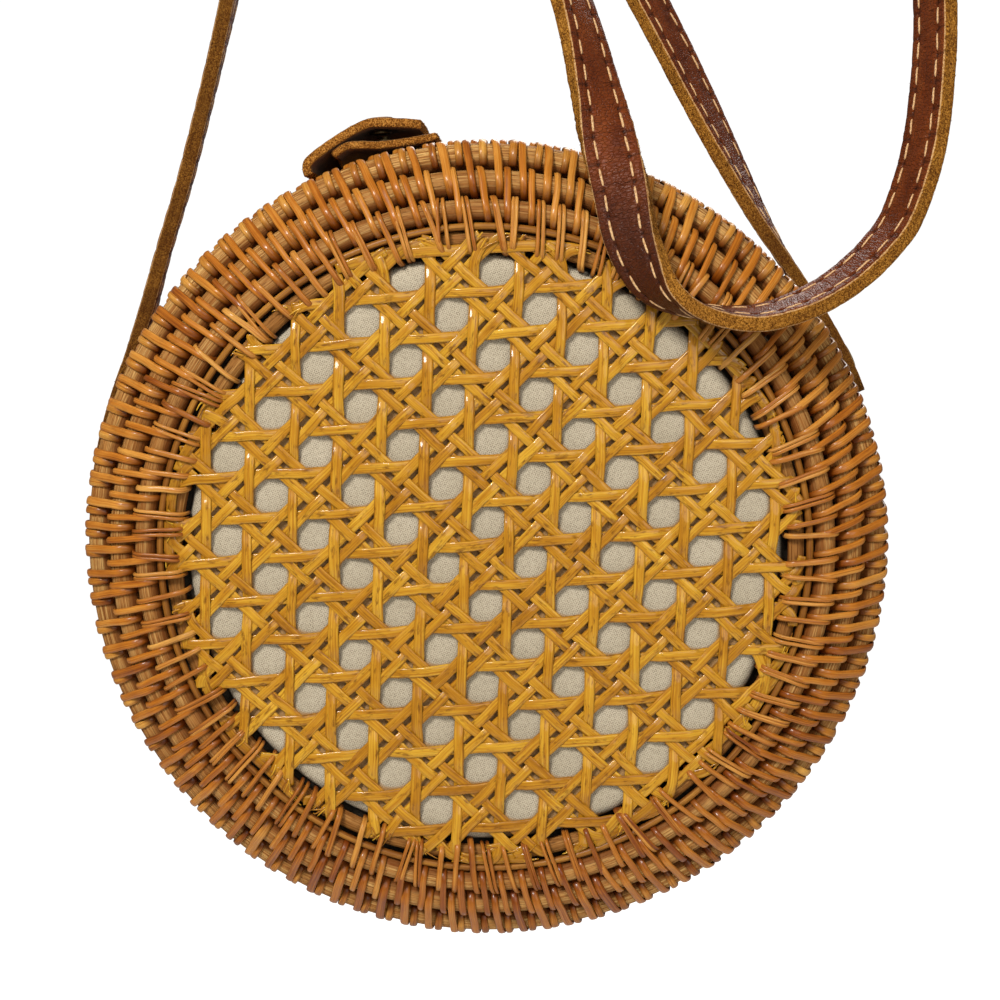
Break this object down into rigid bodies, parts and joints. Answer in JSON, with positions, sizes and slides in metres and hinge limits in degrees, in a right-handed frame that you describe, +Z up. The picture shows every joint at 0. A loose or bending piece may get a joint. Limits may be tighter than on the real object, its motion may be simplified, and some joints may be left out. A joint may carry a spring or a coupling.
{
  "type": "round rattan crossbody bag",
  "caption": "Round clamshell crossbody bag of lashed rattan hoops with cane webbing faces, linen lining, leather closure flap and a long stitched leather strap.",
  "frame": {"origin": "the point where the strap lies over what carries it, midway between its two passes, on the carrier's top line", "axes": "+Z up, the front webbing face looks towards -Y, +X to the right seen from the front; the round bag's centre is 272 mm below the origin and the two halves part at Y = 0"},
  "size_m": [0.2242, 0.0959, 0.3812],
  "materials": {
    "rattan_rod": "matt fibrous rattan rod, lengthwise grain, dry and slightly rough",
    "split_cane": "satin split cane",
    "rattan_lashing": "glossy orange-brown rattan strand with a smooth skin",
    "cane_webbing": "satin golden cane, fine lengthwise fibres",
    "linen_lining": "plain-weave natural linen, matt, fine slubs",
    "strap_leather": "smooth reddish-brown leather, semi-gloss, fine creases, cream stitching, raw ochre edges",
    "suede_leather": "brown leather with raw fuzzy edges",
    "brass_hardware": "aged brass, satin"
  },
  "bodies": {
    "strap_body": {"strap": "strap_leather", "rivet_left": "brass_hardware", "rivet_right": "brass_hardware"},
    "front_shell": {"front_hoop_1": "rattan_rod", "front_hoop_2": "rattan_rod", "front_hoop_3": "rattan_rod", "front_hoop_4": "rattan_rod", "front_hoop_5": "rattan_rod", "front_hoop_6": "rattan_rod", "front_thin_hoop": "split_cane", "front_binder_hoop": "rattan_rod", "front_lashing": "rattan_lashing", "front_cane_panel": "cane_webbing", "front_lining": "linen_lining", "lug_left": "suede_leather", "lug_right": "suede_leather", "front_closure_tab": "suede_leather", "snap_stud": "brass_hardware", "front_hinge_leaf": "suede_leather"},
    "back_shell": {"back_hoop_1": "rattan_rod", "back_hoop_2": "rattan_rod", "back_hoop_3": "rattan_rod", "back_hoop_4": "rattan_rod", "back_hoop_5": "rattan_rod", "back_hoop_6": "rattan_rod", "back_thin_hoop": "split_cane", "back_binder_hoop": "rattan_rod", "back_lashing": "rattan_lashing", "back_cane_panel": "cane_webbing", "back_lining": "linen_lining", "back_hinge_leaf": "suede_leather", "flap_anchor": "suede_leather"},
    "flap_body": {"closure_flap": "suede_leather", "snap_socket": "brass_hardware", "snap_cap": "brass_hardware"}
  },
  "joints": [
    {"name": "bag_swing", "type": "hinge", "parent": "strap_body", "child": "front_shell", "pos_m": [0, 0, -0.23669], "axis": [1, 0, 0], "range_deg": [-7, 2]},
    {"name": "shell_open", "type": "hinge", "parent": "front_shell", "child": "back_shell", "pos_m": [0, 0, -0.3744], "axis": [-1, 0, 0], "range_deg": [0, 75]},
    {"name": "flap_lift", "type": "hinge", "parent": "back_shell", "child": "flap_body", "pos_m": [-0.01702, 0.0172, -0.17031], "axis": [-0.9863, 0, -0.165], "range_deg": [0, 110]}
  ]
}
